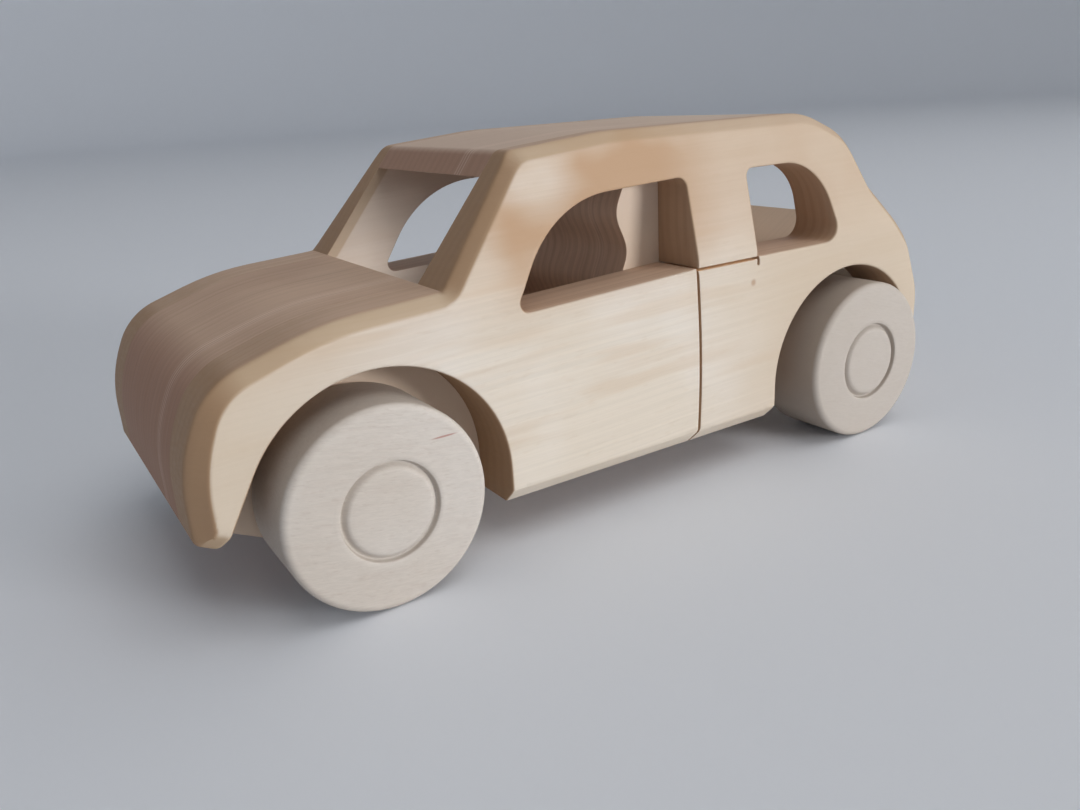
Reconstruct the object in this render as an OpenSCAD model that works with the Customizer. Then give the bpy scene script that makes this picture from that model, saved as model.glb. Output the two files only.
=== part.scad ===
// Wooden toy car in the shape of an old saloon taxi.
// A thick sawn core, a bevelled panel glued on each side, and two pairs of turned wheels on dowel axles.
// X points to the nose, Y to the left side, Z up. The wheels stand on z = 0.

/* [Overall] */
// Distance between the two axles
wheelbase = 126; // [110:1:145]
// Reach of the nose ahead of the front axle
front_overhang = 30.8; // [29:0.2:40]
// Reach of the tail behind the rear axle
rear_overhang = 27.6; // [26:0.2:40]
// Height of the roof above the floor
roof_height = 77.2; // [74:0.2:82]
// Height of the flat underside above the floor
ground_clearance = 9; // [6:0.5:11]

/* [Layers] */
// Width of the sawn core between the side panels
core_width = 47; // [36:0.5:60]
// Thickness of each glued side panel
panel_thickness = 12.7; // [11.5:0.1:16]
// Width of the bevel round the outside of each panel, at the nose and the sill
edge_bevel = 3.4; // [1.5:0.1:3.8]
// Lean of the cabin sides towards the roof, in degrees
cabin_lean = 13.5; // [4:0.5:15]

/* [Nose and hood] */
// Height of the hood where the windscreen stands on it
cowl_height = 53; // [50.5:0.2:57]
// Windscreen foot behind the front axle
cowl_setback = 17.6; // [14:0.2:22]
// Fall of the hood line from the windscreen foot to the crown
hood_fall = 1.4; // [0.8:0.1:3]
// Crown of the hood ahead of the front axle
crown_reach = 5.4; // [3:0.2:9]
// Height of the brow, where the hood turns down into the nose
brow_height = 45.2; // [43:0.2:47]
// Brow behind the foremost point of the nose
brow_setback = 6; // [4:0.1:8]
// Height at which the nose stands upright
nose_height = 32.6; // [29:0.2:35]
// Height of the chin under the nose
chin_height = 19.2; // [16:0.2:20.4]

/* [Cabin] */
// Front edge of the roof behind the front axle
header_setback = 36; // [33:0.2:40]
// Front edge of the roof below the roof line
header_drop = 1.9; // [1:0.1:3]
// Start of the level roof behind the front axle
roof_level_setback = 58; // [50:1:66]
// Thickness of the roof over the cabin
roof_thickness = 6.4; // [4:0.2:9]
// Height of the window sills at the rear window
belt_height = 48.6; // [46:0.2:49]
// Rear edge of the front windows behind the front axle
door_setback = 75.4; // [70:0.2:80]

/* [Tail] */
// Rear end of the level roof ahead of the rear axle
roof_end_lead = 11; // [6:0.5:16]
// Height at which the rear pillar steepens
pillar_height = 71.6; // [69:0.2:73]
// Steep stretch of the rear pillar behind the rear axle
pillar_setback = 1.2; // [0:0.2:3]
// Height of the foot of the rear pillar
deck_height = 59.5; // [57:0.2:62]
// Foot of the rear pillar behind the rear axle
deck_setback = 7.8; // [6:0.2:10]
// Height of the bend at the end of the boot lid
boot_height = 45.4; // [43:0.2:48]
// Bend at the end of the boot lid ahead of the tail
boot_lead = 5.8; // [4:0.2:8]
// Height at which the tail stands upright
tail_height = 32.4; // [29:0.2:36]

/* [Wheels and axles] */
// Diameter of the turned wheels
wheel_diameter = 38; // [34:0.5:41]
// Width of the wheels over their rounded edges
wheel_width = 17; // [12:0.5:22]
// Rounding of the outer edge of the wheels
wheel_round = 1; // [0.6:0.2:5]
// Diameter of the ring turned in the wheel face
ring_diameter = 17.6; // [12:0.2:20]
// Depth of the turned ring
ring_depth = 1.1; // [0.4:0.1:2]
// Gap between the wheels and the core
wheel_gap = 1; // [0.5:0.1:2]
// Clearance of the front wheel arches round the wheels
front_arch_clearance = 6.3; // [5:0.1:7]
// Clearance of the rear wheel arches round the wheels
rear_arch_clearance = 5.4; // [4.5:0.1:6]
// Diameter of the dowel axles
axle_diameter = 6.4; // [5:0.1:8]
// Depth of the blind bore in each wheel
bore_depth = 12; // [8:0.5:13]
// Running clearance of the axles in the core, on the radius
axle_clearance = 0.08; // [0.05:0.01:0.1]

/* [Hidden] */

// Degrees of arc in one facet of a rounded outline corner
arc_step = 9;
// Run of every cut past the surface that it leaves
overrun = 5;
// Glue line between an axle and the bore of its wheel, on the radius
glue_line = 0.02;
// Air left behind the end of an axle in its blind bore
bore_air = 0.5;
// Width of the saw kerf that was left open in the panels
kerf_width = 0.9;
// Bow of the upright saw kerf
kerf_bow = 1;
bow_count = 12;
// Overcut of the kerf below the rear window sill
kerf_overcut = 1;
// Rounding of inside corners, set by the saw blade
blade_round = 3;

// Wheel arches: round the wheels, with centres a little below the axles and towards the middle of the car
axle_z = wheel_diameter / 2;
front_arch_radius = wheel_diameter / 2 + front_arch_clearance;
rear_arch_radius = wheel_diameter / 2 + rear_arch_clearance;
arch_drop = 1.6;
arch_shift = 2;
front_arch_top = axle_z - arch_drop + front_arch_radius;
rear_arch_top = axle_z - arch_drop + rear_arch_radius;
// Lean of the straight run from the front arch down to the fender tip, from the upright
fender_rake = 29;

// Least wood left beside an arch: at the nose, at the tail, under the hood line and under a window sill
nose_rail = 3.6;
tail_rail = 4.5;
hood_rail = 5;
sill_rail = 4;

// Places of the axles, and of the nose, tail, windscreen foot and sills that stand clear of the arches
fender_reach = front_arch_radius / cos(fender_rake) - arch_shift + max(0, axle_z - arch_drop - chin_height);
nose_reach = max(front_overhang, fender_reach + nose_rail);
tail_reach = max(rear_overhang, rear_arch_radius - arch_shift + tail_rail);
car_length = wheelbase + nose_reach + tail_reach;
nose_x = car_length / 2;
tail_x = -car_length / 2;
front_axle_x = nose_x - nose_reach;
rear_axle_x = tail_x + tail_reach;
cowl = [front_axle_x - cowl_setback, max(cowl_height, front_arch_top + hood_fall + hood_rail)];
sill_z = max(belt_height, rear_arch_top + sill_rail);

// Radii of the outline's bends
chin_round = 2;
nose_round = 29;
brow_round = 14;
crown_round = 58;
header_round = 3.2;
roof_round = 60;
roof_end_round = 22;
pillar_round = 14;
deck_round = 9;
boot_round = 12;
tail_round = 20;
belly_round = 18;
tip_round = 3.4;
// Largest rounding of a fender tip, as a share of its width
tip_width_share = 0.3;
// Reach of the chin's slope behind the nose and of the tail's slope ahead of the tail
chin_run = 20;
tail_run = 15;
// Smallest rounding left on a bevelled corner, as a share of the outline's own
least_round_share = 0.2;

// Outline from the chin over the roof to the tail, counter-clockwise: point, radius
outline_top = [
    [[nose_x, chin_height], chin_round],
    [[nose_x, nose_height], nose_round],
    [[nose_x - brow_setback, brow_height], brow_round],
    [[front_axle_x + crown_reach, cowl.y - hood_fall], crown_round],
    [cowl, 0],
    [[front_axle_x - header_setback, roof_height - header_drop], header_round],
    [[front_axle_x - roof_level_setback, roof_height], roof_round],
    [[rear_axle_x + roof_end_lead, roof_height], roof_end_round],
    [[rear_axle_x - pillar_setback, pillar_height], pillar_round],
    [[rear_axle_x - deck_setback, deck_height], deck_round],
    [[tail_x + boot_lead, boot_height], boot_round],
    [[tail_x, tail_height], tail_round],
    [[tail_x, chin_height], chin_round]
];
belly_rear = [tail_x + tail_run, ground_clearance];
belly_front = [nose_x - chin_run, ground_clearance];
core_belly = [[belly_rear, belly_round], [belly_front, belly_round]];

// Centres of the wheel arches
front_arch = [front_axle_x - arch_shift, axle_z - arch_drop];
rear_arch = [rear_axle_x + arch_shift, axle_z - arch_drop];

// Height of the sloped underside at a place between its bend and the end of the car
function slope_z(x, bend, end_x) =
    ground_clearance + (chin_height - ground_clearance) * (x - bend.x) / (end_x - bend.x);
rear_tip_x = rear_arch.x - rear_arch_radius;
// Front arch runs out along its straight rake to the fender tip on the chin's slope
fender_foot = [front_arch.x + front_arch_radius / cos(fender_rake), front_arch.y];
fender_top_x = front_arch.x + front_arch_radius * tan(45 - fender_rake / 2);
chin_slope = (chin_height - ground_clearance) / chin_run;
foot_height = fender_foot.y - slope_z(fender_foot.x, belly_front, nose_x);
front_tip_x = fender_foot.x + tan(fender_rake) * foot_height / (1 + tan(fender_rake) * chin_slope);
rear_tip_round = min(tip_round, tip_width_share * (rear_tip_x - tail_x));
front_tip_round = min(tip_round, tip_width_share * (nose_x - front_tip_x));

// Underside of a panel, with the two arches as round-topped notches
panel_belly = [
    [[rear_tip_x, slope_z(rear_tip_x, belly_rear, tail_x)], rear_tip_round],
    [[rear_tip_x, rear_arch_top], rear_arch_radius],
    [[rear_arch.x + rear_arch_radius, rear_arch_top], rear_arch_radius],
    [[rear_arch.x + rear_arch_radius, ground_clearance], 0],
    [[front_arch.x - front_arch_radius, ground_clearance], 0],
    [[front_arch.x - front_arch_radius, front_arch_top], front_arch_radius],
    [[fender_top_x, front_arch_top], front_arch_radius],
    [[front_tip_x, slope_z(front_tip_x, belly_front, nose_x)], front_tip_round]
];
core_outline = concat(outline_top, core_belly);
panel_outline = concat(outline_top, panel_belly);

// Width of the bevel at each corner of the outline, as shares of its width at the nose
bevel_shares = [1, 1, 0.8, 0.7, 0.62, 0.7, 0.7, 0.7, 0.8, 0.8, 0.9, 1, 1, 1, 1];
bevels = [for (share = bevel_shares) edge_bevel * share];

// Outline of the panel's face inside the bevel
face_outline = inset(core_outline, bevels);
// The crease runs back just below the face's corner at the windscreen foot
cowl_corner = 4;
crease_drop = 0.3;
crease_z = face_outline[cowl_corner][0].y - crease_drop;

// Windows: sill, front and rear edges, top
window_drop = 10.2;
sill_fall = 2;
front_glass_setback = 30.2;
front_glass_rake = 12.2;
front_glass_fall = 1.4;
front_glass_round = 25.4;
rear_glass_lead = 33.3;
rear_glass_end_lead = 6;
rear_glass_rake = 5;
rear_glass_round = 13;
sill_round = 2;
rear_sill_round = 4;
window_top = roof_height - window_drop;
// Largest roundings of the window corners, as shares of the height of the window
front_round_share = 1.25;
rear_round_share = 0.7;
front_corner_round = min(front_glass_round, front_round_share * (window_top - sill_z + sill_fall));
rear_corner_round = min(rear_glass_round, rear_round_share * (window_top - sill_z));
front_glass_x = front_axle_x - front_glass_setback;
door_x = front_axle_x - door_setback;
rear_glass_x = rear_axle_x + rear_glass_lead;
front_window = [
    [[front_glass_x, sill_z - sill_fall], sill_round],
    [[front_glass_x - front_glass_rake, window_top - front_glass_fall], front_corner_round],
    [[door_x, window_top], sill_round],
    [[door_x, sill_z], 0]
];
rear_window = [
    [[rear_glass_x, sill_z], 0],
    [[rear_glass_x, window_top], sill_round],
    [[rear_axle_x + rear_glass_end_lead + rear_glass_rake, window_top], rear_corner_round],
    [[rear_axle_x + rear_glass_end_lead, sill_z], rear_sill_round]
];

// Cabin hollows sawn through the core: open at the windscreen and at the rear window
cabin_floor = 34;
dash_setback = 4;
partition_lead = 10;
partition_wave = 1.2;
partition_pitch = 16;
partition_depth = 30;
rear_shelf_setback = 16.4;
rear_shelf_rise = 4.8;
rear_seat_lead = 12;
ceiling = roof_height - roof_thickness;
partition_x = door_x + partition_lead;
wave_count = 20;
wave_low = cabin_floor + blade_round;
wave_high = ceiling - blade_round;
function wave_x(z) = partition_x + partition_wave * sin(360 * (z - sill_z) / partition_pitch - 170);
front_cabin = concat(
    [
        [[cowl.x - dash_setback, cabin_floor], blade_round],
        [cowl, 0],
        [[cowl.x + overrun, ceiling], 0],
        [[partition_x, ceiling], blade_round]
    ],
    [
        for (k = [0 : wave_count])
            let (z = wave_high + (wave_low - wave_high) * k / wave_count)
                [[wave_x(z), z], 0]
    ],
    [[[partition_x, cabin_floor], blade_round]]
);
shelf = [rear_axle_x - rear_shelf_setback, boot_height + rear_shelf_rise];
rear_cabin = [
    [[rear_axle_x + rear_seat_lead, cabin_floor], blade_round],
    [[partition_x - partition_depth, cabin_floor], blade_round],
    [[partition_x - partition_depth, ceiling], blade_round],
    [[tail_x - overrun, ceiling], 0],
    [[tail_x - overrun, shelf.y + overrun], 0],
    [shelf, 0]
];

// Pure geometry helpers
function unit(v) = v / norm(v);
function left_of(v) = [-v.y, v.x];
function turned(v, angle) = [v.x * cos(angle) - v.y * sin(angle), v.x * sin(angle) + v.y * cos(angle)];
function wrap(list, i) = list[(i + len(list)) % len(list)];

// Facets in the arc of one corner
function arc_steps(before, corner, after) =
    ceil((180 - acos(unit(before - corner) * unit(after - corner))) / arc_step);

// Points of one corner rounded by an arc that meets both edges
function corner_arc(before, corner, after, radius, steps) =
    radius == 0 ? [corner] :
    let (
        u = unit(before - corner),
        v = unit(after - corner),
        half = acos(u * v) / 2,
        centre = corner + unit(u + v) * radius / sin(half),
        start = corner + u * radius / tan(half) - centre,
        sweep = (180 - 2 * half) * sign(cross(corner - before, after - corner))
    )
    [for (k = [0 : steps]) centre + turned(start, sweep * k / steps)];

// Closed ring of points from a list of rounded corners, with the facet counts of a guide list
function guided_ring(corners, guide) = [
    for (i = [0 : len(corners) - 1])
        each corner_arc(
            wrap(corners, i - 1)[0], corners[i][0], wrap(corners, i + 1)[0], corners[i][1],
            arc_steps(wrap(guide, i - 1)[0], guide[i][0], wrap(guide, i + 1)[0])
        )
];
function ring(corners) = guided_ring(corners, corners);

// Corner of an outline whose edges all move inwards by one distance
function inset_corner(before, corner, after, radius, distance) =
    let (
        u = unit(corner - before),
        v = unit(after - corner),
        bend = cross(u, v),
        slide = distance * (left_of(u) * left_of(v) - 1) / bend
    )
    [
        corner + left_of(u) * distance + u * slide,
        radius == 0 ? 0 :
        bend > 0 ? max(radius - distance, radius * least_round_share) : radius + distance
    ];

function inset(corners, distances) = [
    for (i = [0 : len(corners) - 1])
        inset_corner(
            wrap(corners, i - 1)[0], corners[i][0], wrap(corners, i + 1)[0], corners[i][1], distances[i]
        )
];

// Flat drawing in X and Z, raised along Y from y_from to y_to
module along_y(y_from, y_to) {
    translate([0, y_to, 0])
        rotate([90, 0, 0])
            linear_extrude(y_to - y_from)
                children();
}

// Edge of the board and edge of its bevelled face, point by point
board_edge = ring(core_outline);
board_face = guided_ring(face_outline, core_outline);
bevel_depths = [
    for (i = [0 : len(core_outline) - 1])
        let (arc = arc_steps(wrap(core_outline, i - 1)[0], core_outline[i][0], wrap(core_outline, i + 1)[0]))
            for (k = [0 : core_outline[i][1] == 0 ? 0 : arc]) bevels[i]
];
bevel_pairs = [for (i = [0 : len(board_edge) - 1]) [board_edge[i], board_face[i], bevel_depths[i]]];
// Run of the bevel cut past the edge and past the face, as shares of the bevel
bevel_out_share = 0.5;
bevel_in_share = 0.15;

// Cut that takes the bevel off the whole edge of a board on y = 0: a closed run of triangular section
module bevel_cut() {
    count = len(bevel_pairs);
    function lean_in(z) = max(0, z - crease_z) * tan(cabin_lean);
    inner = [
        for (p = bevel_pairs)
            let (q = p[1] + (p[1] - p[0]) * bevel_in_share)
                [q.x, panel_thickness + p[2] * bevel_in_share - lean_in(p[1].y), q.y]
    ];
    outer = [
        for (p = bevel_pairs)
            let (q = p[0] + (p[0] - p[1]) * bevel_out_share)
                [q.x, panel_thickness - p[2] * (1 + bevel_out_share) - lean_in(p[1].y), q.y]
    ];
    over = [for (q = outer) [q.x, panel_thickness + overrun, q.z]];
    polyhedron(
        concat(inner, outer, over),
        [
            for (r = [0 : 2], i = [0 : count - 1])
                let (
                    j = (i + 1) % count,
                    s = (r + 1) % 3,
                    a = r * count + i,
                    b = r * count + j,
                    c = s * count + j,
                    d = s * count + i
                )
                    each [[a, b, c], [a, c, d]]
        ]
    );
}

// Wedge that leans the cabin side inwards above the crease
module lean_cut() {
    high = roof_height + overrun;
    translate([tail_x - overrun, 0, 0])
        rotate([90, 0, 90])
            linear_extrude(car_length + 2 * overrun)
                polygon([
                    [panel_thickness, crease_z],
                    [panel_thickness + overrun, crease_z],
                    [panel_thickness + overrun, high],
                    [panel_thickness - tan(cabin_lean) * (high - crease_z), high]
                ]);
}

// Upright kerf where the saw went in, with a slight bow, then along the sill to the rear window
module kerf() {
    low = ground_clearance - overrun;
    high = sill_z + kerf_width;
    bow = [
        for (k = [0 : bow_count])
            [door_x - kerf_bow * sin(180 * k / bow_count), low + (high - low) * k / bow_count]
    ];
    polygon(concat(
        [for (p = bow) [p.x + kerf_width, p.y]],
        [for (k = [bow_count : -1 : 0]) bow[k]]
    ));
    translate([rear_glass_x - kerf_width, sill_z - kerf_width])
        square([door_x + 2 * kerf_width - rear_glass_x, kerf_width]);
    translate([rear_glass_x - kerf_width, sill_z - kerf_width - kerf_overcut])
        square([kerf_width, 2 * kerf_width + kerf_overcut]);
}

// Left panel on y = 0: a sawn board with windows, arches and kerf, leaned and bevelled
module side_panel() {
    difference() {
        along_y(0, panel_thickness)
            difference() {
                polygon(ring(panel_outline));
                polygon(ring(front_window));
                polygon(ring(rear_window));
                kerf();
            }
        lean_cut();
        bevel_cut();
    }
}

// Core: the sawn outline with two cabin hollows and an axle bore at each end
module core() {
    color("burlywood")
        difference() {
            along_y(-core_width / 2, core_width / 2)
                difference() {
                    polygon(ring(core_outline));
                    polygon(ring(front_cabin));
                    polygon(ring(rear_cabin));
                }
            for (x = [front_axle_x, rear_axle_x])
                translate([x, 0, axle_z])
                    rotate([90, 0, 0])
                        cylinder(
                            d = axle_diameter + 2 * axle_clearance, h = core_width + 2 * overrun,
                            center = true, $fn = 64
                        );
        }
}

module left_side_panel() {
    color("wheat")
        translate([0, core_width / 2, 0])
            side_panel();
}

module right_side_panel() {
    color("wheat")
        mirror([0, 1, 0])
            translate([0, core_width / 2, 0])
                side_panel();
}

// Dowel that runs in the core and ends inside the two wheels
module axle(x) {
    color("tan")
        translate([x, 0, axle_z])
            rotate([90, 0, 0])
                cylinder(
                    d = axle_diameter, h = core_width + 2 * (wheel_gap + bore_depth - bore_air),
                    center = true, $fn = 64
                );
}

module front_axle() {
    axle(front_axle_x);
}

module rear_axle() {
    axle(rear_axle_x);
}

// Turned wheel section from the bore out: height runs from the inner face to the domed outer face
hub_dome = 0.6;
inner_round = 1;
ring_slope = 0.6;
ring_wall = 1.4;
face_radius = wheel_diameter / 2 - wheel_round;
ring_radius = ring_diameter / 2;
bore_radius = axle_diameter / 2 + glue_line;
dome_count = 6;
function dome_z(r) = wheel_width + hub_dome * (1 - pow(r / face_radius, 2));
wheel_section = concat(
    [[bore_radius, 0]],
    [
        for (a = [-90 : 15 : 0])
            [wheel_diameter / 2 - inner_round + inner_round * cos(a), inner_round + inner_round * sin(a)]
    ],
    [
        for (a = [0 : 9 : 90])
            [face_radius + wheel_round * cos(a), wheel_width - wheel_round + wheel_round * sin(a)]
    ],
    [
        for (k = [1 : dome_count])
            let (r = face_radius + (ring_radius + ring_slope - face_radius) * k / dome_count) [r, dome_z(r)]
    ],
    [[ring_radius, dome_z(ring_radius) - ring_depth]],
    [
        for (k = [0 : dome_count])
            let (r = (ring_radius - ring_wall) * (1 - k / dome_count)) [r, dome_z(r)]
    ],
    [[0, bore_depth], [bore_radius, bore_depth]]
);

// Wheel whose outer face looks along side, +1 for left and -1 for right
module wheel(x, side) {
    color("antiquewhite")
        translate([x, side * (core_width / 2 + wheel_gap), axle_z])
            rotate([-90 * side, 0, 0])
                rotate_extrude($fn = 96)
                    polygon(wheel_section);
}

module front_left_wheel() {
    wheel(front_axle_x, 1);
}

module front_right_wheel() {
    wheel(front_axle_x, -1);
}

module rear_left_wheel() {
    wheel(rear_axle_x, 1);
}

module rear_right_wheel() {
    wheel(rear_axle_x, -1);
}

core();
left_side_panel();
right_side_panel();
front_axle();
rear_axle();
front_left_wheel();
front_right_wheel();
rear_left_wheel();
rear_right_wheel();
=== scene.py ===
import math
import bmesh
import bpy
import numpy as np
from mathutils import Matrix, Vector
from mathutils.geometry import delaunay_2d_cdt


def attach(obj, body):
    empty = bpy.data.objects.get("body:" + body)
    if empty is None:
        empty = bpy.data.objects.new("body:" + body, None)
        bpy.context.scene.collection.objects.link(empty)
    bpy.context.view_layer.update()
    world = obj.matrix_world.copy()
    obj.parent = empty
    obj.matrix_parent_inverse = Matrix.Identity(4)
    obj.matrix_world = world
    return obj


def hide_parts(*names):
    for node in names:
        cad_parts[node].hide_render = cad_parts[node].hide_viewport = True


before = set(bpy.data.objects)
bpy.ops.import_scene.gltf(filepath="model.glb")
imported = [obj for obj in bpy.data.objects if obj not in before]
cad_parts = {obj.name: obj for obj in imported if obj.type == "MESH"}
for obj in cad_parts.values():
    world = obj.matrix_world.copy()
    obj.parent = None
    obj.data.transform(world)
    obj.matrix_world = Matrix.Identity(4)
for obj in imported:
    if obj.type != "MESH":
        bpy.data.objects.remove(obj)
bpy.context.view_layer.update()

# Studio
# A round pale floor that curves up into a plain wall on every side, and daylight that is stronger from the
# rear. A soft window light stands low at the car's rear left, and a broad fill light hangs above.
# The camera is that of a close snapshot.

floor_reach, sweep, wall_top, floor_sides = 2.6, 0.9, 2.0, 96
floor_rows = [(floor_reach * share, 0.0) for share in (0.25, 0.5, 0.75, 1.0)]
for step in range(1, 13):
    turn = math.radians(90 * step / 12)
    floor_rows.append((floor_reach + sweep * math.sin(turn), sweep - sweep * math.cos(turn)))
floor_rows.append((floor_reach + sweep, wall_top))
floor_points = [(0.0, 0.0, 0.0)]
for reach, height in floor_rows:
    for side in range(floor_sides):
        turn = 2 * math.pi * side / floor_sides
        floor_points.append((reach * math.cos(turn), reach * math.sin(turn), height))
floor_faces = [(0, 1 + side, 1 + (side + 1) % floor_sides) for side in range(floor_sides)]
for row in range(len(floor_rows) - 1):
    for side in range(floor_sides):
        near, far = 1 + row * floor_sides, 1 + (row + 1) * floor_sides
        after = (side + 1) % floor_sides
        floor_faces.append((near + side, far + side, far + after, near + after))
floor_mesh = bpy.data.meshes.new("studio_floor")
floor_mesh.from_pydata(floor_points, [], floor_faces)
floor_mesh.shade_smooth()
studio_floor = bpy.data.objects.new("studio_floor", floor_mesh)
bpy.context.collection.objects.link(studio_floor)
floor_paint = bpy.data.materials.new("studio_floor_paint")
floor_paint.use_nodes = True
floor_shader = floor_paint.node_tree.nodes["Principled BSDF"]
floor_shader.inputs["Base Color"].default_value = (0.80, 0.83, 0.88, 1)
floor_shader.inputs["Roughness"].default_value = 0.75
floor_mesh.materials.append(floor_paint)


def joined(tree, kind, inputs, **settings):
    """A node with its settings made and its inputs linked or set."""
    node = tree.nodes.new(kind)
    for key, value in settings.items():
        setattr(node, key, value)
    for key, value in inputs.items():
        if isinstance(value, bpy.types.NodeSocket):
            tree.links.new(value, node.inputs[key])
        else:
            node.inputs[key].default_value = value
    return node


studio_world = bpy.data.worlds.new("studio_world")
studio_world.use_nodes = True
sky = studio_world.node_tree
sky_direction = joined(sky, "ShaderNodeTexCoord", {}).outputs["Generated"]
sky_along = joined(sky, "ShaderNodeSeparateXYZ", {"Vector": sky_direction}).outputs["X"]
rear_daylight, front_daylight = 0.54, 0.02
sky_range = {"From Min": -1.0, "From Max": 1.0, "To Min": rear_daylight, "To Max": front_daylight}
sky_strength = joined(sky, "ShaderNodeMapRange", {"Value": sky_along, **sky_range}).outputs["Result"]
sky.nodes["Background"].inputs["Color"].default_value = (0.93, 0.96, 1.0, 1)
sky.links.new(sky_strength, sky.nodes["Background"].inputs["Strength"])
bpy.context.scene.world = studio_world
bpy.context.scene.view_settings.view_transform = "Standard"


def soft_light(name, place, target, size, power, colour):
    """A rectangular area light aimed at a point."""
    lamp = bpy.data.lights.new(name, "AREA")
    lamp.shape = "RECTANGLE"
    lamp.size, lamp.size_y = size
    lamp.energy = power
    lamp.color = colour
    holder = bpy.data.objects.new(name, lamp)
    aim = Vector(target) - Vector(place)
    holder.matrix_world = Matrix.Translation(place) @ aim.to_track_quat("-Z", "Y").to_matrix().to_4x4()
    bpy.context.collection.objects.link(holder)


soft_light(
    "window_light",
    place=(-1.25, 2.1, 0.34),
    target=(0.0, 0.02, 0.035),
    size=(0.7, 0.6),
    power=34.0,
    colour=(1.0, 1.0, 1.0),
)
soft_light(
    "fill_light",
    place=(-0.3, 0.9, 2.0),
    target=(0.0, 0.0, 0.035),
    size=(1.6, 1.6),
    power=12.5,
    colour=(1.0, 0.97, 0.94),
)

camera_place = Vector((0.11125, 0.17119, 0.08501))
camera_yaw, camera_pitch, camera_roll = -0.559, -0.341, -0.062
ahead = Vector((
    math.sin(camera_yaw) * math.cos(camera_pitch),
    -math.cos(camera_yaw) * math.cos(camera_pitch),
    math.sin(camera_pitch),
))
level_right = ahead.cross(Vector((0, 0, 1))).normalized()
level_up = level_right.cross(ahead)
camera_right = level_right * math.cos(camera_roll) + level_up * math.sin(camera_roll)
camera_up = level_up * math.cos(camera_roll) - level_right * math.sin(camera_roll)
camera_data = bpy.data.cameras.new("snapshot_camera")
focal_length_pixels, picture_width_pixels = 880.5, 1080
camera_data.sensor_width = 36.0
camera_data.lens = camera_data.sensor_width * focal_length_pixels / picture_width_pixels
camera_data.clip_start = 0.01
camera = bpy.data.objects.new("snapshot_camera", camera_data)
turned = Matrix((camera_right, camera_up, -ahead)).transposed().to_4x4()
camera.matrix_world = Matrix.Translation(camera_place) @ turned
bpy.context.collection.objects.link(camera)
bpy.context.scene.camera = camera

# Core
# A thick block of pale hardwood, sawn to the car's side outline, with two cabin hollows sawn through it.
# Hood, roof, partition and tail are one piece, and an axle hole is drilled through each end.
# Sizes from here on are in millimetres.

front_axle_x, rear_axle_x, axle_z = 61.4, -64.6, 19.0
nose_x, tail_x = 92.2, -92.2
core_half = 23.5
roof_z, ceiling_z, cabin_floor_z, sill_z = 77.2, 70.8, 34.0, 48.6
belly_z, chin_z = 9.0, 19.2
door_x = front_axle_x - 75.4
partition_x = door_x + 10.0
partition_back_x = partition_x - 30.0
rear_floor_x = rear_axle_x + 12.0
saw_round, crisp_edge, axle_hole_radius = 3.0, 0.06, 3.28
chin_run, tail_run = 20.0, 15.0
cowl = (front_axle_x - 17.6, 53.0)
header = (front_axle_x - 36.0, roof_z - 1.9)
dash_x = cowl[0] - 4.0
deck, boot = (rear_axle_x - 7.8, 59.5), (tail_x + 5.8, 45.4)

nose_and_hood = [
    (nose_x, chin_z, 2.0),
    (nose_x, 32.6, 29.0),
    (nose_x - 6.0, 45.2, 14.0),
    (front_axle_x + 5.4, cowl[1] - 1.4, 58.0),
    (*cowl, 0.0),
]
roof_and_tail = [
    (*header, 3.2),
    (front_axle_x - 58.0, roof_z, 60.0),
    (rear_axle_x + 11.0, roof_z, 22.0),
    (rear_axle_x - 1.2, 71.6, 14.0),
    (*deck, 9.0),
    (*boot, 12.0),
    (tail_x, 32.4, 20.0),
    (tail_x, chin_z, 2.0),
]
belly = [(tail_x + tail_run, belly_z, 18.0), (nose_x - chin_run, belly_z, 18.0)]


def rounded_loop(corners, step=3.0):
    """Closed outline from corners (x, z, radius), with each corner turned into an arc."""
    points = []
    for k, (x, z, radius) in enumerate(corners):
        before = Vector(corners[k - 1][:2])
        corner = Vector((x, z))
        after = Vector(corners[(k + 1) % len(corners)][:2])
        if radius == 0:
            points.append(corner)
            continue
        u = (before - corner).normalized()
        v = (after - corner).normalized()
        half = u.angle(v) / 2
        centre = corner + (u + v).normalized() * radius / math.sin(half)
        start = corner + u * radius / math.tan(half) - centre
        side = 1 if (corner - before).cross(after - corner) > 0 else -1
        sweep_angle = side * (math.pi - 2 * half)
        count = max(2, math.ceil(abs(math.degrees(sweep_angle)) / step))
        for n in range(count + 1):
            turn = sweep_angle * n / count
            points.append(centre + Matrix.Rotation(turn, 2) @ start)
    return np.array([tuple(p) for p in points])


def evened(loop, spacing):
    """The same loop with its long edges cut into short ones."""
    points = []
    for a, b in zip(loop, np.roll(loop, -1, axis=0)):
        count = max(1, math.ceil(np.linalg.norm(b - a) / spacing))
        points.extend(a + (b - a) * n / count for n in range(count))
    return np.array(points)


def distance_to(loop, points):
    """Distance of each point from a closed loop."""
    best = np.full(len(points), 1e9)
    for a, b in zip(loop, np.roll(loop, -1, axis=0)):
        edge = b - a
        share = np.clip(((points - a) @ edge) / max(edge @ edge, 1e-12), 0, 1)
        best = np.minimum(best, np.linalg.norm(points - a - share[:, None] * edge, axis=1))
    return best


def inside(loop, points):
    """Which points lie inside a closed loop."""
    odd = np.zeros(len(points), bool)
    for a, b in zip(loop, np.roll(loop, -1, axis=0)):
        if a[1] == b[1]:
            continue
        spans = (a[1] > points[:, 1]) != (b[1] > points[:, 1])
        odd ^= spans & (points[:, 0] < (b[0] - a[0]) * (points[:, 1] - a[1]) / (b[1] - a[1]) + a[0])
    return odd


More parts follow.
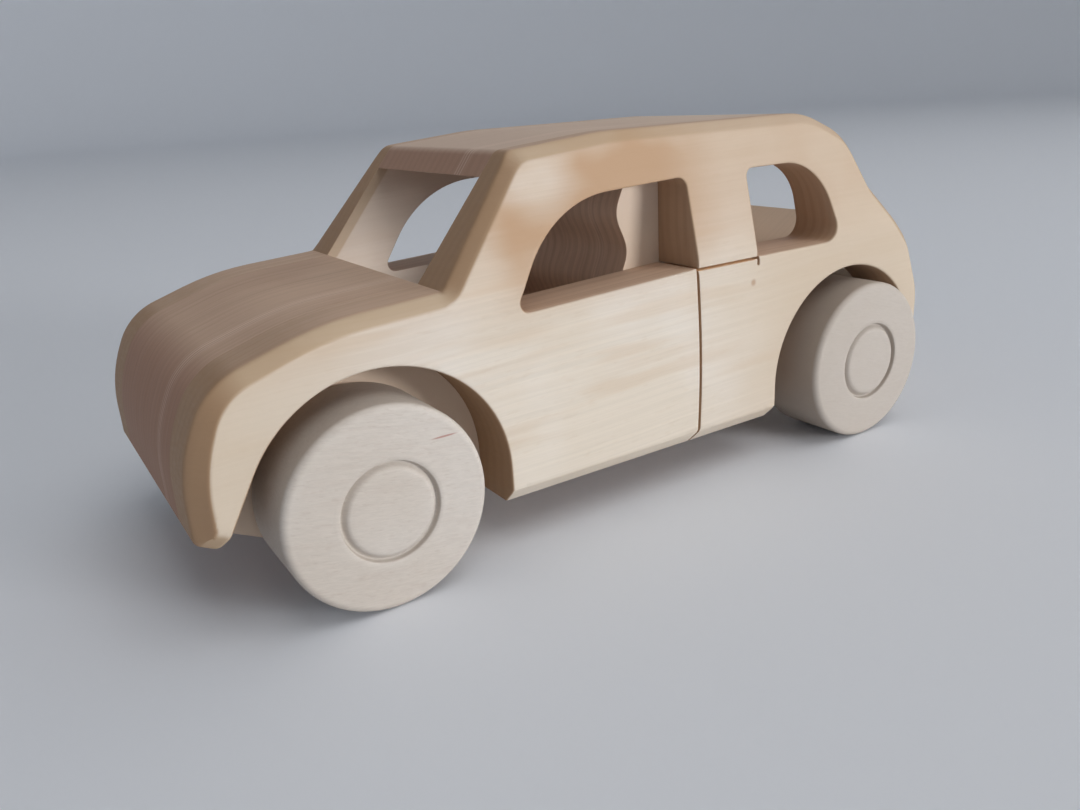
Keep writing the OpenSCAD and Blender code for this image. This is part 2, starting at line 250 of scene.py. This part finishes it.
def note_facing(mesh):
    """Keep with each corner how far its face looks along X (end_share) and along Y (side_share)."""
    facing = np.empty(len(mesh.loops) * 3, np.float32)
    mesh.corner_normals.foreach_get("vector", facing)
    for share, axis in (("end_share", 0), ("side_share", 1)):
        attribute = mesh.attributes.new(share, "FLOAT", "CORNER")
        attribute.data.foreach_set("value", np.abs(facing[axis::3]))


def sawn_board(name, outline, holes, ring_depths, face_depth, back_depth, wall_rows, grid):
    """Closed board between two faces over one outline with holes, drawn in X and Z and standing along Y.
    face_depth and back_depth give each face's y over its points and their distance from the saw cuts."""
    loops = [outline]
    for hole in holes:
        clockwise = np.cross(hole, np.roll(hole, -1, axis=0)).sum() < 0
        loops.append(hole if clockwise else hole[::-1])
    rim = np.concatenate(loops)
    edges = []
    start = 0
    for loop in loops:
        edges += [(start + k, start + (k + 1) % len(loop)) for k in range(len(loop))]
        start += len(loop)
    extra = []
    for loop in loops:
        along = np.roll(loop, -1, axis=0) - np.roll(loop, 1, axis=0)
        along /= np.linalg.norm(along, axis=1)[:, None]
        normal = np.stack([-along[:, 1], along[:, 0]], 1)
        for depth in ring_depths:
            extra.append((loop + normal * depth, depth * 0.92))
    low, high = outline.min(0), outline.max(0)
    across = np.arange(low[0] + grid / 2, high[0], grid)
    upward = np.arange(low[1] + grid / 2, high[1], grid)
    lattice = np.array([(x + (row % 2) * grid / 2, z) for row, z in enumerate(upward) for x in across])
    extra.append((lattice, max(ring_depths) + grid * 0.6))
    kept = [rim]
    for points, least in extra:
        near = np.min([distance_to(loop, points) for loop in loops], axis=0)
        solid = inside(outline, points)
        for hole in holes:
            solid &= ~inside(hole, points)
        kept.append(points[solid & (near >= least)])
    flat = np.concatenate(kept)
    found, _, triangles, origin, _, _ = delaunay_2d_cdt([Vector(p) for p in flat], edges, [], 0, 1e-5)
    flat = np.array([tuple(p) for p in found])
    place = {}
    for index, sources in enumerate(origin):
        for source in sources:
            place[source] = index
    middles = flat[np.array(triangles)].mean(1)
    solid = inside(outline, middles)
    for hole in holes:
        solid &= ~inside(hole, middles)
    near = np.min([distance_to(loop, flat) for loop in loops], axis=0)
    count = len(flat)
    face_y = face_depth(flat, near)
    back_y = back_depth(flat, near)
    vertices = [(p[0], y, p[1]) for p, y in zip(flat, face_y)]
    vertices += [(p[0], y, p[1]) for p, y in zip(flat, back_y)]
    faces = []
    for triangle, keep in zip(triangles, solid):
        if keep:
            faces.append(tuple(triangle))
            faces.append(tuple(count + k for k in reversed(triangle)))
    rows = {}
    for a, b in edges:
        for k in (a, b):
            if k not in rows:
                i = place[k]
                rows[k] = [i]
                for row in range(1, wall_rows):
                    rows[k].append(len(vertices))
                    y = face_y[i] + (back_y[i] - face_y[i]) * row / wall_rows
                    vertices.append((flat[i][0], y, flat[i][1]))
                rows[k].append(count + i)
        for row in range(wall_rows):
            faces.append((rows[a][row], rows[b][row], rows[b][row + 1], rows[a][row + 1]))
    mesh = bpy.data.meshes.new(name)
    mesh.from_pydata([Vector(v) / 1000 for v in vertices], [], faces)
    work = bmesh.new()
    work.from_mesh(mesh)
    loose = [v for v in work.verts if not v.link_faces]
    bmesh.ops.delete(work, geom=loose, context="VERTS")
    bmesh.ops.recalc_face_normals(work, faces=work.faces)
    work.to_mesh(mesh)
    work.free()
    mesh.shade_smooth()
    mesh.set_sharp_from_angle(angle=math.radians(34))
    note_facing(mesh)
    board = bpy.data.objects.new(name, mesh)
    bpy.context.collection.objects.link(board)
    return board


def edge_drop(distance, radius):
    """How far a rounded edge falls at a distance in from the edge."""
    reach = np.clip(radius - distance, 0, radius)
    return radius - np.sqrt(radius * radius - reach * reach)


windscreen_lean = (header[0] - cowl[0]) / (header[1] - cowl[1])
header_low = (cowl[0] + windscreen_lean * (ceiling_z - cowl[1]), ceiling_z)
wave_depth, wave_length, wave_start_degrees = 1.2, 16.0, -170
partition_front = []
for z in np.linspace(cabin_floor_z + saw_round, ceiling_z - saw_round, 61):
    wave = math.sin(math.radians(360 * (z - sill_z) / wave_length + wave_start_degrees))
    partition_front.append((partition_x + wave_depth * wave, z, 0.0))
side_line = rounded_loop(nose_and_hood + roof_and_tail + belly)
roof_line = [(x, z, 0.0) for x, z in side_line if x < header_low[0] + 5 and z > ceiling_z + 0.01]
pillar_end = next(p for p in side_line if p[0] < rear_axle_x and p[1] < ceiling_z)
roof_share = (roof_line[-1][1] - ceiling_z) / (roof_line[-1][1] - pillar_end[1])
roof_end = (roof_line[-1][0] + roof_share * (pillar_end[0] - roof_line[-1][0]), ceiling_z)
shelf = (rear_axle_x - 16.4, 50.2)
lip_x = shelf[0] - 0.4
lip = (lip_x, deck[1] + (lip_x - deck[0]) * (boot[1] - deck[1]) / (boot[0] - deck[0]))
boot_line = [(x, z, 0.0) for x, z in side_line if x < lip_x - 1.5 and z < lip[1]]
core_corners = (
    nose_and_hood
    + [(dash_x, cabin_floor_z, saw_round), (partition_x, cabin_floor_z, saw_round)]
    + partition_front
    + [(partition_x, ceiling_z, saw_round), (*header_low, 0.0)]
    + roof_line
    + [(*roof_end, 0.0), (partition_back_x, ceiling_z, saw_round)]
    + [(partition_back_x, cabin_floor_z, saw_round), (rear_floor_x, cabin_floor_z, saw_round)]
    + [(*shelf, 0.0), (*lip, 0.0)]
    + boot_line
    + belly
)
core_outline = evened(rounded_loop(core_corners), 1.6)
axle_turns = np.radians(np.arange(0, 360, 7.5))
axle_hole = axle_hole_radius * np.stack([np.cos(axle_turns), np.sin(axle_turns)], 1)
axle_holes = [axle_hole + (x, axle_z) for x in (front_axle_x, rear_axle_x)]


def core_side(points, near):
    """One flat side of the core, with its sharp edges just broken."""
    return core_half - edge_drop(near, np.full(len(points), crisp_edge))


core = sawn_board(
    "wooden_core",
    core_outline,
    axle_holes,
    ring_depths=[crisp_edge, 0.3],
    face_depth=core_side,
    back_depth=lambda points, near: -core_side(points, near),
    wall_rows=10,
    grid=4.0,
)


def stained(tree, tone, share, colour):
    """A tone with part of it changed to another colour, which is plain or a pattern of its own."""
    if not isinstance(colour, bpy.types.NodeSocket):
        colour = (*colour, 1)
    return joined(
        tree, "ShaderNodeMix", {"Factor": share, "A": tone, "B": colour}, data_type="RGBA"
    ).outputs["Result"]


def spread(tree, value, low, high, least=0.0, most=1.0):
    """A value eased from one range to another."""
    return joined(
        tree, "ShaderNodeMapRange",
        {"Value": value, "From Min": low, "From Max": high, "To Min": least, "To Max": most},
        interpolation_type="SMOOTHSTEP",
    ).outputs["Result"]


def worked(tree, operation, first, second=None):
    """A sum on plain numbers."""
    inputs = {0: first} if second is None else {0: first, 1: second}
    return joined(tree, "ShaderNodeMath", inputs, operation=operation).outputs[0]


def times(tree, first, second):
    """Two numbers multiplied."""
    return worked(tree, "MULTIPLY", first, second)


def combined(tree, operation, first, second):
    """A sum on two places or colours, axis by axis."""
    return joined(tree, "ShaderNodeVectorMath", {0: first, 1: second}, operation=operation).outputs[0]


def scaled(tree, first, by):
    """A place or colour multiplied by one number."""
    return joined(tree, "ShaderNodeVectorMath", {0: first, "Scale": by}, operation="SCALE").outputs[0]


def length_of(tree, place):
    """Distance of a place from the origin."""
    return joined(tree, "ShaderNodeVectorMath", {0: place}, operation="LENGTH").outputs["Value"]


def distance_from(tree, point, place):
    """Distance of a place from a point."""
    return joined(tree, "ShaderNodeVectorMath", {0: place, 1: point}, operation="DISTANCE").outputs["Value"]


def axes(tree, place):
    """The X, Y and Z of a place."""
    return joined(tree, "ShaderNodeSeparateXYZ", {"Vector": place}).outputs


def noise(tree, place, scale, detail, roughness=0.5, output="Fac"):
    """Cloudy noise over a place, as one number or as a colour."""
    inputs = {"Vector": place, "Scale": scale, "Detail": detail, "Roughness": roughness}
    return joined(tree, "ShaderNodeTexNoise", inputs).outputs[output]


def kept_share(tree, name):
    """A share that is kept with the mesh."""
    return joined(tree, "ShaderNodeAttribute", {}, attribute_name=name).outputs["Fac"]


def oiled_wood(name, pale, deep, line, grain, tilt, seed, drift_by, line_pitch, lines, flecks, contrast):
    """Sanded and oiled hardwood: growth lines, fine fibres, flecks and slow changes of tone.
    grain is how quickly the pattern changes along X, Y and Z, per millimetre."""
    material = bpy.data.materials.new(name)
    material.use_nodes = True
    tree = material.node_tree
    shader = tree.nodes["Principled BSDF"]
    place = joined(tree, "ShaderNodeTexCoord", {}).outputs["Object"]
    local = joined(
        tree,
        "ShaderNodeMapping",
        {"Vector": place, "Location": seed, "Rotation": tilt, "Scale": (1000, 1000, 1000)},
    ).outputs["Vector"]
    drift = noise(tree, local, 0.03, 1.0, output="Color")
    drift = scaled(tree, combined(tree, "SUBTRACT", drift, (0.5, 0.5, 0.5)), drift_by)
    bent = combined(tree, "ADD", local, drift)
    fibre = combined(tree, "MULTIPLY", bent, grain)
    growth = noise(tree, fibre, line_pitch, 3.0, 0.6)
    fibres = noise(tree, fibre, 3.2 * line_pitch, 4.0, 0.7)
    dashes = combined(tree, "MULTIPLY", local, [0.3 + 1.8 * g for g in grain])
    dashes = noise(tree, dashes, 1.0, 1.5)
    patches = noise(tree, bent, 0.03, 2.0)
    tone = stained(tree, (*pale, 1), spread(tree, patches, 0.36, 0.66), deep)
    tone = stained(tree, tone, spread(tree, growth, 0.50, 0.66, 0.0, lines), line)
    tone = stained(tree, tone, spread(tree, dashes, 0.58, 0.74, 0.0, flecks), line)
    tone = scaled(tree, tone, spread(tree, fibres, 0.3, 0.7, 1 - contrast, 1 + 0.6 * contrast))
    tree.links.new(tone, shader.inputs["Base Color"])
    tree.links.new(spread(tree, fibres, 0.3, 0.7, 0.66, 0.54), shader.inputs["Roughness"])
    shader.inputs["Specular IOR Level"].default_value = 0.3
    height = worked(tree, "SUBTRACT", fibres, dashes)
    bump = joined(
        tree, "ShaderNodeBump", {"Height": height, "Strength": 0.25, "Distance": 0.0001}
    ).outputs["Normal"]
    tree.links.new(bump, shader.inputs["Normal"])
    return material, tree, shader, local, bent, tone


tree_heart = (0.0, -70.0, 50.0)


def growth_rings(tree, place, pitch, uneven):
    """Rings of growth about the tree's heart, which runs along X, from 0 to 1."""
    drift = scaled(tree, noise(tree, place, 0.035, 2.0, output="Color"), uneven)
    across = combined(tree, "SUBTRACT", combined(tree, "ADD", place, drift), tree_heart)
    across = combined(tree, "MULTIPLY", across, (0.0, 1.0, 0.6))
    turns = times(tree, length_of(tree, across), 2 * math.pi / pitch)
    return spread(tree, worked(tree, "SINE", turns), -0.6, 1.0)


core_wood, tree, shader, local, _, tone = oiled_wood(
    "core_wood",
    pale=(0.66, 0.465, 0.335),
    deep=(0.58, 0.39, 0.275),
    line=(0.36, 0.22, 0.14),
    grain=(0.008, 1.0, 0.012),
    tilt=(0, 0, 0),
    seed=(3.0, 0.0, 7.0),
    drift_by=3.0,
    line_pitch=1.1,
    lines=0.20,
    flecks=0.10,
    contrast=0.06,
)
spot = axes(tree, local)
end_share = kept_share(tree, "end_share")

# The sawn sides and the rear are paler; the roof is paler as well, a painted sky reflection.
flat_side = spread(tree, kept_share(tree, "side_share"), 0.7, 0.95, 0.0, 0.8)
tone = stained(tree, tone, flat_side, (0.74, 0.60, 0.47))
tone = stained(tree, tone, spread(tree, spot["X"], -10, -55, 0.0, 0.6), (0.74, 0.61, 0.48))
# Painted sky reflection: paler and greyer towards the roof.
tone = stained(tree, tone, spread(tree, spot["Z"], 62, 74, 0.0, 0.5), (0.74, 0.605, 0.50))

# Sanded end grain takes more oil: the nose most of all, partly as painted shade, and the tail a little.
end_grain_and_shade = spread(tree, end_share, 0.1, 0.95)
tail_end = times(tree, end_grain_and_shade, spread(tree, spot["X"], -70, -90, 0.0, 0.5))
tone = stained(tree, tone, tail_end, (0.46, 0.29, 0.19))
# Painted shade as well as end grain: the nose, which faces away from the lights, is darkened.
nose_end_grain_and_shade = times(tree, end_grain_and_shade, spread(tree, spot["X"], 4, 20, 0.0, 0.85))
tone = stained(tree, tone, nose_end_grain_and_shade, (0.34, 0.168, 0.10))
rings = growth_rings(tree, local, pitch=2.6, uneven=7.0)
rings = times(tree, rings, spread(tree, end_share, 0.1, 0.95, 0.0, 0.16))
rings = times(tree, rings, spread(tree, spot["X"], -30, -20))
tone = stained(tree, tone, rings, (0.24, 0.135, 0.085))

# A narrow band of fine pale lines runs over the hood near its left side.
band_y = 14.6
from_band = worked(tree, "ABSOLUTE", worked(tree, "SUBTRACT", spot["Y"], band_y))
fine_lines = growth_rings(tree, local, pitch=1.0, uneven=0.0)
fine_lines = times(tree, fine_lines, spread(tree, from_band, 0.9, 2.2, 0.6, 0.0))
fine_lines = times(tree, fine_lines, spread(tree, end_share, 0.2, 0.9, 1.0, 0.45))
tone = stained(tree, tone, fine_lines, (0.84, 0.65, 0.53))
tree.links.new(tone, shader.inputs["Base Color"])
core.data.materials.append(core_wood)
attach(core, "body")
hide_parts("core")

# Side panels
# A half-inch board of the same pale wood is glued to each side of the core. Windows and wheel arches are
# sawn out of it, its cabin part leans in, and a wide bevel runs round its edge. The saw's way in to the
# windows is left open as a thin kerf.

panel_depth, bevel_width = 12.7, 3.4
crease_z = 50.2
cabin_slope = math.tan(math.radians(13.5))
arch_z = axle_z - 1.6
front_arch_x, front_arch_radius = front_axle_x - 2.0, 25.3
rear_arch_x, rear_arch_radius = rear_axle_x + 2.0, 24.4
fender_rake = math.radians(29)
rake_share = math.tan(fender_rake)
rise = chin_z - belly_z
chin_slope = rise / chin_run
foot_x = front_arch_x + front_arch_radius / math.cos(fender_rake)
foot_height = arch_z - belly_z - chin_slope * (foot_x - nose_x + chin_run)
front_tip_x = foot_x + rake_share * foot_height / (1 + rake_share * chin_slope)
rear_tip_x = rear_arch_x - rear_arch_radius
front_top_x = front_arch_x + front_arch_radius * math.tan(math.pi / 4 - fender_rake / 2)
front_arch_top, rear_arch_top = arch_z + front_arch_radius, arch_z + rear_arch_radius
rear_arch_corners = [
    (rear_tip_x, belly_z + rise * (tail_x + tail_run - rear_tip_x) / tail_run, 1.5),
    (rear_tip_x, rear_arch_top, rear_arch_radius),
    (rear_arch_x + rear_arch_radius, rear_arch_top, rear_arch_radius),
    (rear_arch_x + rear_arch_radius, belly_z, 0.6),
]
front_arch_corners = [
    (front_arch_x - front_arch_radius, belly_z, 0.6),
    (front_arch_x - front_arch_radius, front_arch_top, front_arch_radius),
    (front_top_x, front_arch_top, front_arch_radius),
    (front_tip_x, belly_z + chin_slope * (front_tip_x - nose_x + chin_run), 1.1),
]
window_top = roof_z - 10.2
window_front_x, sill_fall = front_axle_x - 30.2, 2.0
front_window = [
    (window_front_x, sill_z - sill_fall, 2.0),
    (front_axle_x - 42.4, window_top - 1.4, 25.4),
    (door_x, window_top, 2.0),
    (door_x, sill_z, 0.2),
]
rear_glass_x = rear_axle_x + 33.3
rear_window = [
    (rear_glass_x, sill_z, 0.2),
    (rear_glass_x, window_top, 2.0),
    (rear_axle_x + 11.0, window_top, 13.0),
    (rear_axle_x + 6.0, sill_z, 4.0),
]


def kerf_x(z):
    """Rear side of the upright saw kerf, which bows backwards a little."""
    return door_x - math.sin(math.pi * (z - belly_z + 5.0) / (sill_z - belly_z + 5.9))


kerf_width = 0.55
kerf_end_z = sill_z - 1.9
kerf_heights = np.linspace(belly_z, sill_z - kerf_width, 18)
front_sill_z = sill_z - sill_fall * kerf_width / (window_front_x - door_x)
panel_corners = (
    nose_and_hood
    + roof_and_tail
    + rear_arch_corners
    + [(kerf_x(z), z, 0.0) for z in kerf_heights]
    + [
        (rear_glass_x, sill_z - kerf_width, 0.0),
        (rear_glass_x, kerf_end_z, 0.3),
        (rear_glass_x - kerf_width, kerf_end_z, 0.3),
        (rear_glass_x - kerf_width, sill_z, 0.0),
    ]
    + rear_window[::-1]
    + front_window[::-1]
    + [(kerf_x(sill_z - 0.3) + kerf_width, front_sill_z, 0.0)]
    + [(kerf_x(z) + kerf_width, z, 0.0) for z in kerf_heights[::-1]]
    + front_arch_corners
)
bevel_line = rounded_loop(nose_and_hood[:-1] + [(*cowl, 4.5), (*header, 8.0)] + roof_and_tail[1:] + belly)
panel_outline = evened(rounded_loop(panel_corners), 1.0)
kerf_line = np.array([(kerf_x(z) + kerf_width / 2, z) for z in kerf_heights])
kerf_line = np.concatenate([kerf_line, [(rear_glass_x, sill_z - kerf_width / 2)], kerf_line[::-1]])


def eased(value, low, high):
    """0 below low and 1 above high, with a smooth rise between them."""
    share = np.clip((value - low) / (high - low), 0, 1)
    return share * share * (3 - 2 * share)


def bevel_into(points):
    """How far points lie inside the bevel, which is narrower over the hood and the cabin."""
    x, z = points[:, 0], points[:, 1]
    narrow = 0.36 * eased(z, 28, 56) * (1 - 0.5 * eased(-x, 62, 84))
    depth = distance_to(bevel_line, points) * np.where(inside(bevel_line, points), 1, -1)
    return bevel_width * (1 - narrow) - depth


def soft_ramp(value, softness):
    """Nothing well below zero and the value itself well above it, with a rounded corner between."""
    return 0.5 * (value + np.sqrt(value * value + softness))


def panel_face(points, near):
    """Outer face of a panel: leaning above the crease, bevelled at the outline, soft at every edge.
    The edges are crisper along the kerf than elsewhere."""
    lean = cabin_slope * soft_ramp(points[:, 1] - crease_z, 0.6)
    bevel = soft_ramp(bevel_into(points), 0.03)
    edge_radius = 0.2 + 0.22 * np.clip(distance_to(kerf_line, points) / 2.0 - 0.4, 0, 1)
    return core_half + panel_depth - lean - bevel - edge_drop(near, edge_radius)


def panel_back(points, near):
    """Glued face of a panel, flat against the core."""
    return core_half + edge_drop(near, np.full(len(points), crisp_edge))


def side_panel(name, side):
    """A left panel, or its mirror image for the right side."""
    panel = sawn_board(
        name,
        panel_outline,
        [],
        ring_depths=[0.1, 0.24, 0.5, 1.1, 1.6, 2.0, 2.3, 2.6, 2.9, 3.2, 3.5, 4.0],
        face_depth=panel_face,
        back_depth=panel_back,
        wall_rows=6,
        grid=2.4,
    )
    spots = np.empty(len(panel.data.vertices) * 3)
    panel.data.vertices.foreach_get("co", spots)
    spots = spots.reshape(-1, 3)[:, ::2] * 1000
    shares = {
        "bevel_share": bevel_into(spots) / 0.3 + 0.5,
        "kerf_share": 1.5 - distance_to(kerf_line, spots) / 0.4,
    }
    for share, values in shares.items():
        attribute = panel.data.attributes.new(share, "FLOAT", "POINT")
        attribute.data.foreach_set("value", np.clip(values, 0, 1).astype(np.float32))
    if side < 0:
        panel.data.transform(Matrix.Diagonal((1, -1, 1, 1)))
        panel.data.flip_normals()
    return panel


panel_wood, tree, shader, local, bent, tone = oiled_wood(
    "panel_wood",
    pale=(0.755, 0.69, 0.612),
    deep=(0.71, 0.625, 0.52),
    line=(0.56, 0.42, 0.29),
    grain=(0.005, 0.15, 0.55),
    tilt=(0, math.radians(-2), 0),
    seed=(0, 0, 0),
    drift_by=1.6,
    line_pitch=0.8,
    lines=0.10,
    flecks=0.12,
    contrast=0.05,
)
spot = axes(tree, bent)
depth = worked(tree, "ABSOLUTE", axes(tree, local)["Y"])
end_share = kept_share(tree, "end_share")

# Long streaks along the board, a paler glued face, and warmer ends round a door left pale as painted sheen.
streaks = noise(tree, combined(tree, "MULTIPLY", bent, (0.022, 0.1, 0.2)), 1.0, 2.0)
tone = stained(tree, tone, spread(tree, streaks, 0.54, 0.70, 0.0, 0.4), (0.62, 0.475, 0.34))
tone = stained(tree, tone, spread(tree, depth, 23.8, 24.6, 0.6, 0.0), (0.75, 0.625, 0.525))
# Partly painted sheen: both ends are stained warmer and darker, so the door between them stays whitish.
tone = stained(tree, tone, spread(tree, spot["X"], -4, -50, 0.0, 0.8), (0.61, 0.49, 0.365))
tone = stained(tree, tone, spread(tree, spot["X"], 38, 88, 0.0, 0.8), (0.62, 0.505, 0.38))

# Amber heartwood along the roof, kept off one pale spot of painted sheen at the top of the front pillar.
figure = noise(tree, combined(tree, "MULTIPLY", bent, (0.045, 0.05, 0.075)), 1.0, 2.0)
painted_sheen_distance = distance_from(tree, (19.0, 31.0, 71.0), bent)
heart = spread(tree, figure, 0.34, 0.60, 0.7, 1.0)
for limit in (
    spread(tree, spot["Z"], 40, 61),
    spread(tree, spot["X"], -8, -30, 1.0, 0.45),
    spread(tree, spot["X"], 26, 35, 1.0, 0.55),
    # Painted sheen: the amber fades out round one spot at the top of the front pillar.
    spread(tree, painted_sheen_distance, 2.0, 11.0, 0.4, 1.0),
    spread(tree, depth, 23.8, 26.0, 0.15, 1.0),
):
    heart = times(tree, heart, limit)
tone = stained(tree, tone, heart, (0.50, 0.32, 0.192))

# Golden bevel, deepest at the front with painted shade, pale along the lower edge with painted bounce
# light.
bevel_tint_and_painted_light = kept_share(tree, "bevel_share")
# Partly painted shade: the bevel's amber deepens towards the front.
bevel_tint_and_painted_light = times(tree, bevel_tint_and_painted_light, spread(tree, spot["X"], -50, 30, 0.1, 0.65))
# Painted bounce light from the floor: the amber fades out along the lower edge.
bevel_tint_and_painted_light = times(tree, bevel_tint_and_painted_light, spread(tree, spot["Z"], 11, 19, 0.1, 1.0))
tone = stained(tree, tone, bevel_tint_and_painted_light, (0.49, 0.345, 0.205))

# Sawn edges are browner with fine lines; the kerf's orange is painted light; end grain is darkest, partly
# painted shade.
sawn_edge = spread(tree, kept_share(tree, "side_share"), 0.1, 0.5, 0.95, 0.0)
edge_lines = noise(tree, combined(tree, "MULTIPLY", bent, (0.01, 1.2, 0.015)), 1.0, 3.0)
edge_tone = stained(
    tree, (0.635, 0.445, 0.32, 1), spread(tree, edge_lines, 0.36, 0.66), (0.565, 0.385, 0.27)
)
# Painted light: the kerf walls are a bright orange so the narrow slot's shade reads lighter.
edge_tone = stained(tree, edge_tone, kept_share(tree, "kerf_share"), (0.88, 0.58, 0.33))
tone = stained(tree, tone, sawn_edge, edge_tone)
# Partly painted shade: end grain is darkened, more towards the front, on faces turned away from the lights.
end_grain_and_shade = spread(tree, end_share, 0.06, 0.6)
end_grain_and_shade = times(tree, end_grain_and_shade, spread(tree, spot["X"], -60, 40, 0.6, 0.95))
tone = stained(tree, tone, end_grain_and_shade, (0.385, 0.238, 0.135))
rings = growth_rings(tree, local, pitch=2.6, uneven=7.0)
rings = times(tree, rings, spread(tree, end_share, 0.3, 0.95, 0.0, 0.12))
tone = stained(tree, tone, rings, (0.24, 0.135, 0.085))

# One pin knot below the rear window of the left panel.
knot = distance_from(tree, (-31.6, 36.0, 42.0), local)
tone = stained(tree, tone, spread(tree, knot, 0.3, 1.1, 0.7, 0.0), (0.42, 0.25, 0.15))
tree.links.new(tone, shader.inputs["Base Color"])
for name, side in (("left_panel", 1), ("right_panel", -1)):
    panel = side_panel(name, side)
    panel.data.materials.append(panel_wood)
    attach(panel, "body")
    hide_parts("left_side_panel" if side > 0 else "right_side_panel")

# Axles
# Two plain hardwood dowels, turned smooth, that run in the core's holes and are glued into the wheels.
# Their shape in the model is already right, so they only get their wood.

dowel_wood = oiled_wood(
    "dowel_wood",
    pale=(0.68, 0.54, 0.40),
    deep=(0.60, 0.45, 0.31),
    line=(0.42, 0.29, 0.18),
    grain=(0.9, 0.02, 0.9),
    tilt=(0, 0, 0),
    seed=(5.0, 1.0, 2.0),
    drift_by=1.0,
    line_pitch=0.8,
    lines=0.3,
    flecks=0.2,
    contrast=0.08,
)[0]
for node in ("front_axle", "rear_axle"):
    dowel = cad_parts[node]
    dowel.data.materials.clear()
    dowel.data.materials.append(dowel_wood)

# Wheels
# Four wheels turned from a pale close-grained board, each with a ring cut in its face and a softly rounded
# edge. Their blind holes are glued onto the ends of the axles.

wheel_radius, wheel_width, wheel_edge = 19.0, 17.0, 1.5
wheel_gap, bore_radius, bore_depth = 1.0, 3.22, 12.0
ring_radius, ring_depth, hub_dome = 8.8, 1.1, 0.6
back_edge, hub_back_radius = 1.0, 10.0
face_radius = wheel_radius - wheel_edge


def dome(radius):
    """Height of the slightly domed wheel face at a radius."""
    return wheel_width + hub_dome * (1 - (radius / face_radius) ** 2)


wheel_section = [(bore_radius, 0.0), (hub_back_radius, 0.0)]
for turn in np.radians(np.arange(-90, 1, 10)):
    radius = wheel_radius - back_edge + back_edge * math.cos(turn)
    wheel_section.append((radius, back_edge + back_edge * math.sin(turn)))
wheel_section += [(wheel_radius, height) for height in (5.0, 9.0, 13.0)]
for turn in np.radians(np.arange(0, 91, 9)):
    radius = face_radius + wheel_edge * math.cos(turn)
    wheel_section.append((radius, wheel_width - wheel_edge * (1 - math.sin(turn))))
for radius in np.linspace(face_radius - 0.6, ring_radius + 1.4, 8):
    wheel_section.append((radius, dome(radius)))
# The ring's offsets from its radius and shares of its depth: steep outside, a long slope inside.
ring_profile = [(0.62, 0.0), (0.5, 0.08), (0.4, 0.40), (0.3, 0.80), (0.2, 0.95), (0.05, 1.0)]
ring_profile += [(-0.15, 0.90), (-0.4, 0.62), (-0.65, 0.34), (-0.9, 0.14), (-1.15, 0.04), (-1.4, 0.0)]
for offset, share in ring_profile:
    radius = ring_radius + offset
    wheel_section.append((radius, dome(radius) - ring_depth * share))
for radius in np.linspace(ring_radius - 2.2, 0.0, 8):
    wheel_section.append((radius, dome(radius)))
wheel_section += [(0.0, bore_depth), (bore_radius, bore_depth)]


def turned_wheel(name, x, side, spokes=144):
    """Wheel made by sweeping its section round the axle."""
    work = bmesh.new()
    rings = []
    for radius, height in wheel_section:
        y = side * (core_half + wheel_gap + height)
        if radius == 0:
            rings.append([work.verts.new((x / 1000, y / 1000, axle_z / 1000))])
            continue
        ring = []
        for k in range(spokes):
            turn = 2 * math.pi * k / spokes
            along, upward = x + radius * math.cos(turn), axle_z + radius * math.sin(turn)
            ring.append(work.verts.new((along / 1000, y / 1000, upward / 1000)))
        rings.append(ring)
    for inner, outer in zip(rings, rings[1:] + rings[:1]):
        for k in range(spokes):
            n = (k + 1) % spokes
            corners = [ring[m % len(ring)] for ring, m in ((inner, k), (inner, n), (outer, n), (outer, k))]
            corners = list(dict.fromkeys(corners))
            if len(corners) > 2:
                work.faces.new(corners)
    bmesh.ops.recalc_face_normals(work, faces=work.faces)
    mesh = bpy.data.meshes.new(name)
    work.to_mesh(mesh)
    work.free()
    mesh.shade_smooth()
    mesh.set_sharp_from_angle(angle=math.radians(50))
    note_facing(mesh)
    wheel = bpy.data.objects.new(name, mesh)
    bpy.context.collection.objects.link(wheel)
    return wheel


wheel_wood, tree, shader, _, _, tone = oiled_wood(
    "wheel_wood",
    pale=(0.615, 0.56, 0.505),
    deep=(0.58, 0.515, 0.45),
    line=(0.43, 0.33, 0.275),
    grain=(0.16, 0.40, 1.1),
    tilt=(0, math.radians(10), 0),
    seed=(0, 0, 0),
    drift_by=2.0,
    line_pitch=0.8,
    lines=0.10,
    flecks=0.18,
    contrast=0.05,
)

# The rear pair comes from a darker board, and the treads are darker than the faces, partly as painted
# shade.
place = joined(tree, "ShaderNodeTexCoord", {}).outputs["Object"]
along = axes(tree, place)["X"]
tone = stained(tree, tone, spread(tree, along, 0.02, -0.02, 0.0, 0.6), (0.48, 0.42, 0.365))
# Partly painted shade: the treads are darkened, the rear pair's more, as under the arches.
tread_end_grain_and_shade = spread(tree, kept_share(tree, "side_share"), 0.1, 0.7, 1.0, 0.0)
tread_end_grain_and_shade = times(tree, tread_end_grain_and_shade, spread(tree, along, 0.02, -0.02, 0.5, 0.75))
tone = stained(tree, tone, tread_end_grain_and_shade, (0.36, 0.30, 0.25))

# One short reddish check in the face of the front left wheel, in metres as the wheel stands at rest.
check = joined(
    tree,
    "ShaderNodeMapping",
    {
        "Vector": place,
        "Location": (0.0501, 0.0415, 0.0299),
        "Rotation": (0, -0.02, 0),
        "Scale": (0.0027, 0.004, 0.0002),
    },
    vector_type="TEXTURE",
).outputs["Vector"]
tone = stained(tree, tone, spread(tree, length_of(tree, check), 0.5, 1.2, 0.7, 0.0), (0.36, 0.13, 0.10))
tree.links.new(tone, shader.inputs["Base Color"])
for end, x in (("front", front_axle_x), ("rear", rear_axle_x)):
    for hand, side in (("left", 1), ("right", -1)):
        wheel = turned_wheel(f"{end}_{hand}_turned_wheel", x, side)
        wheel.data.materials.append(wheel_wood)
        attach(wheel, f"{end}_wheelset")
        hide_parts(f"{end}_{hand}_wheel")
